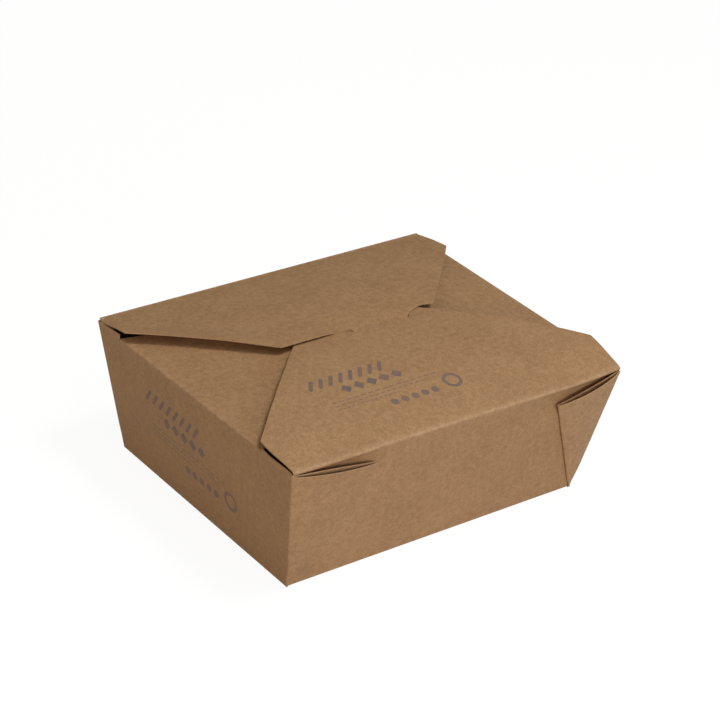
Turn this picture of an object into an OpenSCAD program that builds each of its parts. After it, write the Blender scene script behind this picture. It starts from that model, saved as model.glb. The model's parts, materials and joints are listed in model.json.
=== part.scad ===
// Takeaway box: one sheet of kraft paperboard, creased and folded.
// Four flaring walls stand on a flat base. At each corner the board is doubled over
// and lies on the outside of a long wall. Two side flaps fold in first, the front flap
// covers them, and the back flap covers it and locks with a tongue in a slit.
// Millimetres. X runs along the front, Y to the back, Z up. The origin is the middle
// of the base's underside, and the front wall faces -Y.

/* [Base and walls] */
// Length of the base, left to right
base_length = 152; // [110:1:200]
// Depth of the base, front to back
base_depth = 120; // [90:1:160]
// How far each side wall leans out from bottom to top
side_flare = 10.4; // [4:0.2:18]
// How far the front and back walls lean out from bottom to top
long_flare = 9.4; // [4:0.2:16]
// Height of the folds at the top of the front and back walls
wall_height = 62.1; // [45:0.1:90]

/* [Board] */
// Thickness of the board
board = 0.5; // [0.4:0.05:0.8]
// Space between layers that slide past each other
slide_gap = 0.25; // [0.2:0.05:0.4]

/* [Lid] */
// Height of the back flap's front edge above the wall folds
lid_rise = 7.25; // [5:0.25:11]
// Distance of the back flap's front edge behind the box's middle
lap_offset = 3; // [0:0.2:8]
// How far the front flap runs on under the back flap
flap_overlap = 8; // [6:0.2:14]
// Straight part of each long flap's sides, next to its fold
flap_shoulder = 20.3; // [10:0.1:30]
// Width of the back flap along its front edge
back_edge_width = 80.6; // [76:0.2:96]
// How far the back flap bows up between its fold and its front edge
back_bow = 0.9; // [0.4:0.1:2]
// How far the front flap bows up between its fold and the lap
front_bow = 3.1; // [2.6:0.1:4]
// Space between the two flaps at the back flap's front edge
lap_gap = 0.6; // [0.4:0.1:1]

/* [Tongue and slit] */
// Width of the tongue at its narrow end
tongue_width = 27; // [20:0.5:30]
// How far the tongue's middle lies to the right of the box's middle
tongue_offset = 9.4; // [0:0.2:11]
// Radius of the hollow curve at the tongue's right root
root_radius = 12.6; // [6:0.2:14]
// Radius of the corners at the tongue's tip
tip_radius = 4; // [2:0.5:8]
// Length of the tongue under the lip of the slit
tongue_tuck = 12; // [8:0.5:20]
// Distance from the back flap's front edge forward to the lip of the slit
lip_setback = 4; // [3.5:0.1:6]

/* [Side flaps] */
// Drop of the side flaps' folds below the folds of the long walls
side_drop = 1.1; // [0.5:0.1:2.5]
// Width of each side flap at its fold
side_flap_width = 106; // [80:1:112]
// Length of each side flap, fold to inner edge
side_flap_reach = 58; // [44:1:66]
// Angle at which a side flap's ends taper
side_flap_taper = 20; // [10:1:30]

/* [Corner webs] */
// Drop of a web's top edge below the long wall's fold, at the corner
web_drop_corner = 3.6; // [2:0.2:8]
// Drop of a web's top edge below the long wall's fold, at the diagonal fold
web_drop_fold = 9.6; // [6:0.2:16]
// Angle by which a web's outer layer stands away from the wall in its middle
web_spring = 2.2; // [1:0.1:3]

/* [Hinge] */
// Space round the hinge line, between the back wall and its flap
hinge_gap = 0.3; // [0.2:0.05:0.5]

/* [Hidden] */

kraft = [0.72, 0.53, 0.34];
$fn = 96;
// Sides of the very large circles that the bowed flaps follow
bow_fn = 720;
// Longer than the box in every direction, for the solids that only trim others
span = 2 * (base_length + base_depth + wall_height);
web_cone_height = 2 * wall_height;
// How low the ends of the flaps reach, inside the walls
flap_foot_z = wall_height - 2 * board;

top_length = base_length + 2 * side_flare;
top_depth = base_depth + 2 * long_flare;
long_lean = atan(long_flare / wall_height);
side_lean = atan(side_flare / wall_height);
long_slant = wall_height / cos(long_lean);
side_slant = wall_height / cos(side_lean);

// In each wall's own plane, how far the corner edge leans out from upright
corner_on_long = atan(side_flare / long_slant);
corner_on_side = atan(long_flare / side_slant);
// The flat sheet has a full turn round each bottom corner. What the base and the two
// walls leave of it is the web, and the diagonal fold halves it.
base_corner = 90;
web_angle = (360 - 3 * base_corner - corner_on_long - corner_on_side) / 2;
web_layers = 2;

side_fold_z = wall_height - side_drop;
lid_top = wall_height + lid_rise;
back_edge_y = lap_offset;
back_reach = top_depth / 2 - back_edge_y;
front_reach = top_depth / 2 + back_edge_y + flap_overlap;
flap_taper = atan((top_length - back_edge_width) / 2 / (back_reach - flap_shoulder));
lip_y = back_edge_y - lip_setback;

// The two long flaps as arcs in the YZ plane, each from its fold to the lap
back_fold = [top_depth / 2, wall_height];
back_end = [back_edge_y, lid_top];
front_fold = [-top_depth / 2, wall_height];
front_end = [back_edge_y, lid_top - board - lap_gap];

function arc_radius(a, b, bow) = (pow(norm(b - a) / 2, 2) + pow(bow, 2)) / (2 * bow);
function arc_up(a, b) = sign(b.x - a.x) * [-(b.y - a.y), b.x - a.x] / norm(b - a);
function arc_middle(a, b, bow) = (a + b) / 2 - arc_up(a, b) * (arc_radius(a, b, bow) - bow);
function height_at(y, middle, radius) = middle.y + sqrt(pow(radius, 2) - pow(y - middle.x, 2));

front_middle = arc_middle(front_fold, front_end, front_bow);
front_radius = arc_radius(front_fold, front_end, front_bow);

// The tongue dips under the lip, and the slit is as wide as its slope needs
lip_under_z = height_at(lip_y, front_middle, front_radius - board);
tongue_dip = atan((lid_top - lip_under_z + slide_gap) / lip_setback);
lip_slope = asin((lip_y - front_middle.x) / front_radius);
slit_angle = tongue_dip + lip_slope;
slit_width = (board + (board + 2 * slide_gap) / cos(slit_angle)) / tan(slit_angle);
tongue_left = tongue_offset - tongue_width / 2;
tongue_right = tongue_offset + tongue_width / 2;
tongue_tip_y = lip_y - tongue_tuck * cos(tongue_dip);

// Space that a trimming block covers, from one height to another
module layer(low, high) {
    translate([-span / 2, -span / 2, low])
        cube([span, span, high - low]);
}

// Everything on the inner side of one wall, a given distance in from its outer face
module inside_wall(turn, half_base, lean, inset) {
    rotate([0, 0, turn])
        translate([0, -half_base, 0])
            rotate([90 + lean, 0, 0])
                translate([-span / 2, -span / 2, -inset - span])
                    cube([span, 2 * span, span]);
}

module inside_long_walls(inset) {
    intersection() {
        inside_wall(0, base_depth / 2, long_lean, inset);
        inside_wall(180, base_depth / 2, long_lean, inset);
    }
}

module inside_side_walls(inset) {
    intersection() {
        inside_wall(90, base_length / 2, side_lean, inset);
        inside_wall(270, base_length / 2, side_lean, inset);
    }
}

// The whole flaring block up to a height
module block(high) {
    intersection() {
        inside_long_walls(0);
        inside_side_walls(0);
        layer(0, high);
    }
}

module long_walls() {
    difference() {
        block(wall_height);
        inside_long_walls(board);
    }
}

module side_walls() {
    difference() {
        block(side_fold_z);
        inside_side_walls(board);
    }
}

// Room for the hinge line along the back wall's top
module hinge_room() {
    translate([-span / 2, 0, wall_height - board - hinge_gap])
        cube([span, span, span]);
}

// The children, laid flat, are stood on the outside of the front wall: X stays along
// the wall, Y goes up it and Z points away from it
module on_front_wall() {
    translate([0, -base_depth / 2, 0])
        rotate([90 + long_lean, 0, 0])
            children();
}

// The web's outline on the wall, from the bottom corner to its top edge. The diagonal
// fold turns a board's thickness outside its line.
module web_outline() {
    corner_top = long_slant - web_drop_corner;
    fold_top = long_slant - web_drop_fold;
    fold_slope = web_angle - corner_on_long;
    fold_foot = base_length / 2 - board;
    wrap = side_flare;
    polygon([
        [fold_foot, 0],
        [base_length / 2 + wrap, 0],
        [top_length / 2 + wrap, corner_top],
        [top_length / 2, corner_top],
        [fold_foot - fold_top * tan(fold_slope), fold_top]
    ]);
}

// A cone with its point at the bottom corner, half a layer deep, whose surface leaves
// the wall near the corner edge and comes back to it near the diagonal fold
module web_cone(grow) {
    point_depth = board / 2;
    half_angle = web_angle / 2;
    middle_slope = half_angle - corner_on_long;
    sink = atan((cos(web_spring) - cos(half_angle)) / sin(web_spring));
    opening = sink + web_spring;
    translate([base_length / 2, 0, board - point_depth])
        rotate([0, 0, middle_slope])
            rotate([-90 - sink, 0, 0])
                translate([0, 0, -grow / sin(opening)])
                    cylinder(h = web_cone_height, r1 = 0, r2 = web_cone_height * tan(opening));
}

// One corner web, folded on to the front wall at its right end
module front_right_web() {
    outer = web_layers * board;
    intersection() {
        on_front_wall()
            difference() {
                intersection() {
                    translate([0, 0, -board / 2])
                        linear_extrude(wall_height)
                            web_outline();
                    union() {
                        layer(-board, outer);
                        web_cone(board);
                    }
                }
                intersection() {
                    web_cone(0);
                    layer(board, wall_height);
                }
            }
        inside_side_walls(0);
        layer(0, wall_height);
    }
}

module corner_webs() {
    for (flip_x = [0, 1], flip_y = [0, 1])
        mirror([flip_x, 0, 0])
            mirror([0, flip_y, 0])
                front_right_web();
}

// A side flap's plan, with its fold at x = 0 and its inner edge at x = -reach
module side_flap_plan() {
    inner = side_flap_width / 2 - side_flap_reach * tan(side_flap_taper);
    polygon([
        [side_flare, side_flap_width / 2],
        [0, side_flap_width / 2],
        [-side_flap_reach, inner],
        [-side_flap_reach, -inner],
        [0, -side_flap_width / 2],
        [side_flare, -side_flap_width / 2]
    ]);
}

module side_flaps() {
    fold_x = base_length / 2 + side_flare * side_fold_z / wall_height;
    intersection() {
        for (flip = [0, 1])
            mirror([flip, 0, 0])
                translate([fold_x, 0, side_fold_z - board])
                    linear_extrude(board)
                        side_flap_plan();
        block(side_fold_z);
    }
}

// A long flap's plan, with its fold along y = 0 and its free edge at y = reach
module flap_plan(reach) {
    half = top_length / 2;
    end = half - (reach - flap_shoulder) * tan(flap_taper);
    polygon([
        [-half, 0],
        [half, 0],
        [half, flap_shoulder],
        [end, reach],
        [-end, reach],
        [-half, flap_shoulder]
    ]);
}

// A sheet bowed about X, with its top surface through two points of the YZ plane
module bowed_sheet(a, b, bow) {
    middle = arc_middle(a, b, bow);
    radius = arc_radius(a, b, bow);
    translate([-span / 2, middle.x, middle.y])
        rotate([90, 0, 90])
            linear_extrude(span)
                difference() {
                    circle(radius, $fn = bow_fn);
                    circle(radius - board, $fn = bow_fn);
                }
}

// The tongue in plan, with its hollow root on the right, grown by a gap all round
module tongue_plan(grow) {
    root_x = tongue_right + root_radius;
    root_y = back_edge_y - root_radius;
    tip_y = tongue_tip_y - grow;
    corner = tip_radius + grow;
    difference() {
        union() {
            translate([tongue_left - grow, tip_y + corner])
                square([tongue_width + 2 * grow, back_edge_y - tip_y - corner]);
            translate([tongue_left - grow + corner, tip_y])
                square([tongue_width + 2 * grow - 2 * corner, corner]);
            for (x = [tongue_left - grow + corner, tongue_right + grow - corner])
                translate([x, tip_y + corner])
                    circle(corner);
            translate([tongue_right, root_y])
                square(root_radius);
        }
        translate([root_x, root_y])
            circle(root_radius - grow);
    }
}

// The slit: as wide as the tongue's slope needs, and open only where the tongue passes
module slit() {
    intersection() {
        linear_extrude(span)
            tongue_plan(slide_gap);
        translate([-span / 2, lip_y, 0])
            cube([span, slit_width, span]);
    }
}

module front_flap() {
    difference() {
        intersection() {
            bowed_sheet(front_fold, front_end, front_bow);
            translate([0, -top_depth / 2, 0])
                linear_extrude(span)
                    flap_plan(front_reach);
        }
        layer(-span, flap_foot_z);
        slit();
    }
}

// The tongue is flat, and slopes down from the back flap's front edge
module tongue() {
    intersection() {
        translate([0, back_edge_y, lid_top])
            rotate([tongue_dip, 0, 0])
                translate([-span / 2, -span / 2, -board])
                    cube([span, span, board]);
        linear_extrude(span)
            tongue_plan(0);
    }
}

module back_flap_sheet() {
    intersection() {
        bowed_sheet(back_end, back_fold, back_bow);
        translate([0, top_depth / 2, 0])
            mirror([0, 1, 0])
                linear_extrude(span)
                    flap_plan(back_reach);
        translate([-span / 2, -span / 2, flap_foot_z])
            cube([span, span / 2 + top_depth / 2 - hinge_gap, span]);
    }
}

module folded_box() {
    color(kraft)
        union() {
            difference() {
                long_walls();
                hinge_room();
            }
            side_walls();
            block(board);
            corner_webs();
            side_flaps();
            front_flap();
        }
}

module back_flap() {
    color(kraft)
        union() {
            back_flap_sheet();
            tongue();
        }
}

folded_box();
back_flap();
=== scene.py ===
"""A folded kraft takeaway box: one sheet of board, its folds, its print and a pale studio."""

import json
import math
from typing import NamedTuple

import bpy
import numpy as np
from bpy.props import FloatProperty, FloatVectorProperty, PointerProperty
from mathutils import Matrix, Vector


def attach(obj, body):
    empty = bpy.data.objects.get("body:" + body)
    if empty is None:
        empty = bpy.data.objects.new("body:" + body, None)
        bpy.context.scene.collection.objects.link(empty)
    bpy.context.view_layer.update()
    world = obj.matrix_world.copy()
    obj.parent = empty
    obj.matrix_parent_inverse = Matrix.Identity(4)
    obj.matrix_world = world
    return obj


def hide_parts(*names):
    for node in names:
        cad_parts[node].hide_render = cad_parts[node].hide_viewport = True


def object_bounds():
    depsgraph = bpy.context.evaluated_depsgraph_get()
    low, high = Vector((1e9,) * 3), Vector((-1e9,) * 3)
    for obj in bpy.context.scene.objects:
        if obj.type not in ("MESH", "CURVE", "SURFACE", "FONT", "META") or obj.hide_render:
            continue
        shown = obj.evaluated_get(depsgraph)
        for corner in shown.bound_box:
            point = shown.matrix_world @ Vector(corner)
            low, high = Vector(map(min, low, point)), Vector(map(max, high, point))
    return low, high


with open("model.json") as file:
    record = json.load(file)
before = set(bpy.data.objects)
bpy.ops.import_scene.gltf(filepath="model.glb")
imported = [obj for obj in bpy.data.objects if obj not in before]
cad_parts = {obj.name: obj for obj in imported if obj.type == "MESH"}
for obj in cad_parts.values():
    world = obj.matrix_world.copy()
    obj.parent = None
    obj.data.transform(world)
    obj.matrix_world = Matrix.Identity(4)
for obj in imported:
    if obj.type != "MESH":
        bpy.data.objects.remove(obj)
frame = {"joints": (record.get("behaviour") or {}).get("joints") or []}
CAD_BOX = [list(corner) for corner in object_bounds()]
HINGE = Vector(frame["joints"][0]["pos_m"])

bl_info = {
    "name": "Takeaway box",
    "version": (1, 0, 0),
    "blender": (4, 5, 0),
    "location": "3D View > Sidebar > Takeaway box",
    "description": "Folds a kraft board takeaway box with an overlapping lid",
    "category": "Add Mesh",
}

MM = 0.001
OUTSIDE, INSIDE, CUT_EDGE = 0, 1, 2
# Per-point share of lighter board: raised fibres at the folds, plus a painted highlight along the
# folds and some cut edges
WEAR_AND_HIGHLIGHT = "fold_wear"
SHARP = math.radians(38)


def length(name, description, default):
    """A size in metres that a user may change."""
    return FloatProperty(name=name, description=description, default=default, min=0.0,
                         unit="LENGTH", subtype="DISTANCE", precision=5)


def angle(name, description, degrees):
    """An angle that a user may change."""
    return FloatProperty(name=name, description=description, default=math.radians(degrees),
                         unit="ROTATION", subtype="ANGLE")


def colour(name, description, default):
    """A colour that a user may change, as linear light."""
    return FloatVectorProperty(name=name, description=description, default=default,
                               subtype="COLOR", size=3, min=0.0, max=1.0)


class BoxSizes(bpy.types.PropertyGroup):
    """Sizes of the folded box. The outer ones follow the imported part."""

    base_length: length("Base length", "Length of the base, left to right", 152 * MM)
    base_depth: length("Base depth", "Depth of the base, front to back", 120 * MM)
    top_length: length("Top length", "Length of the box at the wall folds", 172.8 * MM)
    top_depth: length("Top depth", "Depth of the box at the wall folds", 2 * HINGE.y)
    wall_height: length("Wall height", "Height of the long walls' top folds", HINGE.z)
    side_height: length("Side height", "Height of the side walls' top folds", 61 * MM)
    board: length("Board", "Thickness of the board", 0.5 * MM)
    foot_round: length("Foot fold", "Radius of the folds round the base", 0.8 * MM)
    top_round: length("Top fold", "Radius of the folds at the top of the walls", 1.3 * MM)
    lid_top: length("Lid height", "Height of the back flap's front edge", CAD_BOX[1][2])
    lap: length("Lap", "Distance of the back flap's front edge behind the middle", 3 * MM)
    overlap: length("Overlap", "How far the front flap runs on under the back flap", 8 * MM)
    shoulder: length("Shoulder", "Straight part of a long flap's sides", 20.3 * MM)
    lap_width: length("Lap width", "Width of the back flap's front edge", 80.6 * MM)
    front_bow: length("Front bow", "How far the front flap bows up", 3.1 * MM)
    back_bow: length("Back bow", "How far the back flap bows up", 0.9 * MM)
    side_flap_width: length("Side flap width", "Width of a side flap at its fold", 106 * MM)
    side_flap_reach: length("Side flap reach", "Length of a side flap", 58 * MM)
    side_flap_taper: angle("Side flap taper", "Angle at which a side flap's ends taper", 20)
    web_fold: angle("Web angle", "Angle between a corner edge and its web's fold", 35.93)
    web_fold_round: length("Web fold", "Radius of a web's doubled fold", 0.62 * MM)
    corner_round: length("Corner fold", "Radius of the upright corners", 1.0 * MM)


class BoxColours(bpy.types.PropertyGroup):
    """Colours of the board and its print."""

    kraft: colour("Kraft", "Printed side of the board", (0.47, 0.285, 0.143))
    kraft_dark: colour("Kraft, dark", "Dark clouds in the board", (0.35, 0.197, 0.092))
    fleck: colour("Fleck", "Darkest fibres in the board", (0.2, 0.11, 0.055))
    lining: colour("Lining", "Coated side of the board", (0.4, 0.25, 0.135))
    edge: colour("Cut edge", "Edge of the board where it was cut", (0.45, 0.3, 0.18))
    # Lighter colour of folds and some cut edges: raised fibres at the folds, plus a painted
    # highlight where light catches the folds and edges
    worn_and_highlight: colour("Worn fold", "Fibres raised along a fold", (0.56, 0.38, 0.24))
    ink: colour("Ink", "Printed shapes", (0.15, 0.125, 0.13))
    floor: colour("Floor", "Studio floor", (0.6, 0.6, 0.6))


# Node trees

class Wire:
    """An output of a node that can be used in sums, so that a tree reads as a formula."""

    def __init__(self, tree, socket):
        self.tree = tree
        self.socket = socket

    def math(self, operation, *others):
        """A math node on this value and others."""
        node = self.tree.nodes.new("ShaderNodeMath")
        node.operation = operation
        for value, socket in zip((self, *others), node.inputs):
            plug(value, socket)
        return Wire(self.tree, node.outputs[0])

    def __add__(self, other):
        return self.math("ADD", other)

    def __sub__(self, other):
        return self.math("SUBTRACT", other)

    def __rsub__(self, other):
        return self * -1 + other

    def __mul__(self, other):
        return self.math("MULTIPLY", other)

    def __truediv__(self, other):
        return self.math("DIVIDE", other)

    def clamp(self):
        """The value kept from 0 to 1."""
        node = self.tree.nodes.new("ShaderNodeClamp")
        plug(self, node.inputs["Value"])
        return Wire(self.tree, node.outputs[0])

    __radd__ = __add__
    __rmul__ = __mul__


def plug(value, socket):
    """Links a wire to a socket, or sets the socket to a plain value."""
    if isinstance(value, Wire):
        value.tree.links.new(value.socket, socket)
    else:
        socket.default_value = value


def add_node(tree, kind, settings=None, **inputs):
    """Adds a node. Settings are its properties, and inputs are its sockets by name."""
    node = tree.nodes.new(kind)
    for name, value in (settings or {}).items():
        setattr(node, name, value)
    for name, value in inputs.items():
        plug(value, node.inputs[name.replace("_", " ")])
    return node


def new_group(name, kind, inputs, outputs):
    """A node group with named sockets. Returns the tree, its inputs and its output node."""
    tree = bpy.data.node_groups.new(name, kind)
    for label, socket, value in inputs:
        made = tree.interface.new_socket(label, in_out="INPUT", socket_type=socket)
        if value is not None:
            made.default_value = value
    for label, socket in outputs:
        tree.interface.new_socket(label, in_out="OUTPUT", socket_type=socket)
    start = tree.nodes.new("NodeGroupInput")
    end = tree.nodes.new("NodeGroupOutput")
    wires = {label: Wire(tree, start.outputs[label]) for label, _, _ in inputs}
    return tree, wires, end


def scaled(vector, factor):
    """A vector wire times a number wire."""
    node = add_node(vector.tree, "ShaderNodeVectorMath", {"operation": "SCALE"}, Scale=factor)
    plug(vector, node.inputs[0])
    return Wire(vector.tree, node.outputs[0])


def summed(first, *others):
    """The sum of vector wires."""
    for vector in others:
        node = add_node(first.tree, "ShaderNodeVectorMath", {"operation": "ADD"})
        plug(first, node.inputs[0])
        plug(vector, node.inputs[1])
        first = Wire(first.tree, node.outputs[0])
    return first


def shown_apart(tree, light, shown, rays, share, end):
    """Shows one shader to some kinds of ray and keeps another one for all other light."""
    path = add_node(tree, "ShaderNodeLightPath")
    seen = Wire(tree, path.outputs[rays[0]])
    for ray in rays[1:]:
        seen = seen.math("MAXIMUM", Wire(tree, path.outputs[ray]))
    mix = add_node(tree, "ShaderNodeMixShader")
    plug(seen * share, mix.inputs[0])
    tree.links.new(light.outputs[0], mix.inputs[1])
    tree.links.new(shown.outputs[0], mix.inputs[2])
    tree.links.new(mix.outputs[0], tree.nodes.new(end).inputs["Surface"])


# Board materials

def noise(vector, scale, detail, roughness=0.5):
    """A noise's value. Its scale is the number of its waves in a metre."""
    node = add_node(vector.tree, "ShaderNodeTexNoise", Vector=vector, Scale=scale,
                    Detail=detail, Roughness=roughness)
    return Wire(vector.tree, node.outputs["Fac"])


GRAIN = ("Clouds", "Flecks", "Height")


def board_grain_group():
    """Clouds, flecks and fibres of unbleached board."""
    tree, wires, end = new_group(
        "board grain", "ShaderNodeTree",
        [("Vector", "NodeSocketVector", None), ("Fleck Amount", "NodeSocketFloat", 0.5)],
        [(label, "NodeSocketFloat") for label in GRAIN],
    )
    broad = noise(wires["Vector"], 55.0, 2.0)
    mottle = noise(wires["Vector"], 420.0, 4.0, 0.62)
    fine = noise(wires["Vector"], 1500.0, 3.0, 0.6)
    clouds = ((broad - 0.5) * 0.8 + (mottle - 0.5) * 2.4 + (fine - 0.5) * 2.6 + 0.5).clamp()
    stretch = add_node(tree, "ShaderNodeMapping", Vector=wires["Vector"])
    stretch.inputs["Scale"].default_value = (0.22, 0.22, 1.0)
    stretch.inputs["Rotation"].default_value = (0.35, 0.2, 0.5)
    fibres = noise(Wire(tree, stretch.outputs[0]), 3200.0, 2.0)
    flecks = ((fibres - 0.66) * 9.0).clamp() * wires["Fleck Amount"]
    height = mottle * 0.6 + fine * 0.7 + fibres * 0.4
    for label, value in zip(GRAIN, (clouds, flecks, height)):
        plug(value, end.inputs[label])
    return tree


def band_mask(across, up, left, right, middle, half, pitch, shape, soft):
    """Shapes in a row: bars, diamonds, discs or dashes between two ends."""
    offset = (((across - left) / pitch).math("FRACT") - 0.5) * pitch
    rise = up - middle
    if shape == "diamond":
        inside = half - (offset.math("ABSOLUTE") + rise.math("ABSOLUTE"))
    elif shape in ("disc", "ring"):
        distance = (offset * offset + rise * rise).math("SQRT")
        inside = half - distance
        if shape == "ring":
            inside = half * 0.2 - (distance - half * 0.8).math("ABSOLUTE")
    else:
        lean, share = (-0.7, 0.24) if shape == "slash" else (0.0, 0.36)
        from_bar = (offset + rise * lean).math("ABSOLUTE")
        inside = (pitch * share - from_bar).math("MINIMUM", half - rise.math("ABSOLUTE"))
    ends = (across - left).math("GREATER_THAN", 0.0) * (right - across).math("GREATER_THAN", 0.0)
    return (inside / soft).clamp() * ends


def motif_group():
    """A plain printed motif, in millimetres from its lower left corner."""
    tree, wires, end = new_group(
        "printed motif", "ShaderNodeTree",
        [("Across", "NodeSocketFloat", 0.0), ("Up", "NodeSocketFloat", 0.0),
         ("Softness", "NodeSocketFloat", 0.28)],
        [("Mask", "NodeSocketFloat")],
    )
    across, up, soft = wires["Across"], wires["Up"], wires["Softness"]
    # Left and right end, middle, half height, pitch, shape and strength of each row
    rows = [
        (0.0, 40.0, 26.0, 3.2, 5.0, "slash", 1.0),
        (12.0, 44.0, 18.6, 2.9, 6.4, "diamond", 1.0),
        (3.0, 58.0, 12.4, 0.42, 3.6, "dash", 0.9),
        (3.0, 50.0, 10.2, 0.42, 2.9, "dash", 0.9),
        (3.0, 34.0, 8.0, 0.42, 2.3, "dash", 0.9),
        (26.0, 52.0, 3.4, 1.9, 5.2, "disc", 0.95),
        (55.0, 65.0, 5.6, 4.6, 10.0, "ring", 0.95),
    ]
    total = None
    for left, right, middle, half, pitch, shape, strength in rows:
        mask = band_mask(across, up, left, right, middle, half, pitch, shape, soft) * strength
        total = mask if total is None else total.math("MAXIMUM", mask)
    plug(total, end.inputs["Mask"])
    return tree


def grain_of(tree, groups, amount):
    """Places the grain group on the piece's own coordinates."""
    where = add_node(tree, "ShaderNodeTexCoord")
    vector = Wire(tree, where.outputs["Object"])
    node = add_node(tree, "ShaderNodeGroup", {"node_tree": groups["grain"]}, Vector=vector)
    node.inputs["Fleck Amount"].default_value = amount
    return vector, {label: Wire(tree, node.outputs[label]) for label in GRAIN}


def mixed(factor, first, second):
    """A mix of two colours, each a wire or plain red, green and blue."""
    node = add_node(factor.tree, "ShaderNodeMix", {"data_type": "RGBA"})
    plug(factor, node.inputs[0])
    for value, socket in ((first, node.inputs[6]), (second, node.inputs[7])):
        plug(value if isinstance(value, Wire) else (*value, 1.0), socket)
    return Wire(factor.tree, node.outputs[2])


def new_material(name):
    """A material with its tree and its shader."""
    material = bpy.data.materials.new(name)
    material.use_nodes = True
    return material, material.node_tree, material.node_tree.nodes["Principled BSDF"]


def dress(tree, shader, colour, roughness, specular, height, distance, strength):
    """Gives a shader the colour, the shine and the fine bumps of the board."""
    bump = add_node(tree, "ShaderNodeBump", Height=height, Strength=strength, Distance=distance)
    tree.links.new(bump.outputs[0], shader.inputs["Normal"])
    plug(colour, shader.inputs["Base Color"])
    plug(roughness, shader.inputs["Roughness"])
    shader.inputs["Specular IOR Level"].default_value = specular


# Lower left corners of the two prints, and where the printed faces end, in millimetres
FLAP_PRINT, WALL_PRINT, WALL_SQUASH = (-49.5, -54.0), (-36.0, 15.5), 0.95
FLAP_FROM, WALL_FROM, WALL_TO = 63.5, 76.5, 58.0


def print_masks(tree, groups, vector):
    """The motif on the front flap and on the left wall, and nowhere else."""
    split = add_node(tree, "ShaderNodeSeparateXYZ", Vector=vector)
    x, y, z = (Wire(tree, split.outputs[axis]) * 1000.0 for axis in "XYZ")

    def motif(across, up):
        """The motif's mask at a place in its own millimetres."""
        node = add_node(tree, "ShaderNodeGroup", {"node_tree": groups["motif"]},
                        Across=across, Up=up)
        return Wire(tree, node.outputs["Mask"])

    on_flap = motif(x - FLAP_PRINT[0], y - FLAP_PRINT[1])
    on_wall = motif(y * -1 - WALL_PRINT[0], (z - WALL_PRINT[1]) * WALL_SQUASH)
    flap_side = z.math("GREATER_THAN", FLAP_FROM)
    wall_side = (x * -1).math("GREATER_THAN", WALL_FROM) * z.math("LESS_THAN", WALL_TO)
    return (on_flap * flap_side).math("MAXIMUM", on_wall * wall_side)


def board_materials(look):
    """Outside, lining and cut edge of the board, made once."""
    names = ("kraft_outside", "kraft_lining", "kraft_cut_edge")
    if names[0] in bpy.data.materials:
        return [bpy.data.materials[name] for name in names]
    groups = {"grain": board_grain_group(), "motif": motif_group()}

    outside, tree, shader = new_material(names[0])
    vector, grain = grain_of(tree, groups, 0.3)
    paper = mixed(grain["Clouds"], tuple(look.kraft_dark), tuple(look.kraft))
    paper = mixed(grain["Flecks"], paper, tuple(look.fleck))
    # Painted highlight with real raised fibres: the board is lightened along its folds and along
    # some cut edges of the back flap
    attribute = add_node(tree, "ShaderNodeAttribute", {"attribute_name": WEAR_AND_HIGHLIGHT})
    fold = Wire(tree, attribute.outputs["Fac"])
    paper = mixed((fold * (0.12 + grain["Clouds"] * 0.4)).clamp(), paper, tuple(look.worn_and_highlight))
    ink = print_masks(tree, groups, vector)
    ink = (ink * (0.72 + (grain["Clouds"] - 0.5) * 0.5)).clamp()
    paper = mixed(ink, paper, tuple(look.ink))
    rough = 0.66 + grain["Clouds"] * 0.14
    dress(tree, shader, paper, rough, 0.32, grain["Height"], 0.12 * MM, 0.35)

    lining, tree, shader = new_material(names[1])
    _, grain = grain_of(tree, groups, 0.35)
    paper = mixed(grain["Clouds"], tuple(look.kraft_dark), tuple(look.lining))
    paper = mixed(grain["Flecks"], paper, tuple(look.fleck))
    rough = 0.4 + grain["Clouds"] * 0.12
    dress(tree, shader, paper, rough, 0.45, grain["Height"], 0.08 * MM, 0.25)

    edge, tree, shader = new_material(names[2])
    _, grain = grain_of(tree, groups, 0.8)
    paper = mixed(0.4 + grain["Clouds"] * 0.6, tuple(look.kraft), tuple(look.edge))
    dress(tree, shader, paper, 0.92, 0.2, grain["Height"], 0.2 * MM, 0.6)
    return [outside, lining, edge]


# Sheets of board

def unit(vector):
    """A vector of the same direction, one long."""
    return vector / np.linalg.norm(vector)


def ease(low, high, value):
    """0 below low, 1 above high and smooth between."""
    t = np.clip((value - low) / (high - low), 0.0, 1.0)
    return t * t * (3 - 2 * t)


def between(start, full, fade, end, value):
    """0 outside the two ends, 1 between the two middle places and smooth on the way."""
    return ease(start, full, value) * (1 - ease(fade, end, value))


def folded_line(corners, radii, steps=8):
    """A line in two dimensions with rounded folds. Returns its points and each fold's ends."""
    points, ends = [np.array(corners[0], float)], []
    for before, at, after, radius in zip(corners, corners[1:], corners[2:], radii):
        before, at, after = (np.array(p, float) for p in (before, at, after))
        if radius == 0:
            ends.append((len(points), len(points)))
            points.append(at)
            continue
        into, out = unit(at - before), unit(after - at)
        turn = math.atan2(into[0] * out[1] - into[1] * out[0], float(into @ out))
        reach = radius * math.tan(abs(turn) / 2)
        side = math.copysign(1.0, turn)
        start = at - into * reach
        centre = start + side * radius * np.array([-into[1], into[0]])
        first, arm = len(points), start - centre
        for step in range(steps + 1):
            c, s = math.cos(turn * step / steps), math.sin(turn * step / steps)
            points.append(centre + np.array([c * arm[0] - s * arm[1], s * arm[0] + c * arm[1]]))
        ends.append((first, len(points) - 1))
    points.append(np.array(corners[-1], float))
    return np.array(points), ends


def run_lengths(points):
    """Distance of each point along its line."""
    return np.r_[0.0, np.cumsum(np.linalg.norm(np.diff(points, axis=0), axis=1))]


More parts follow.
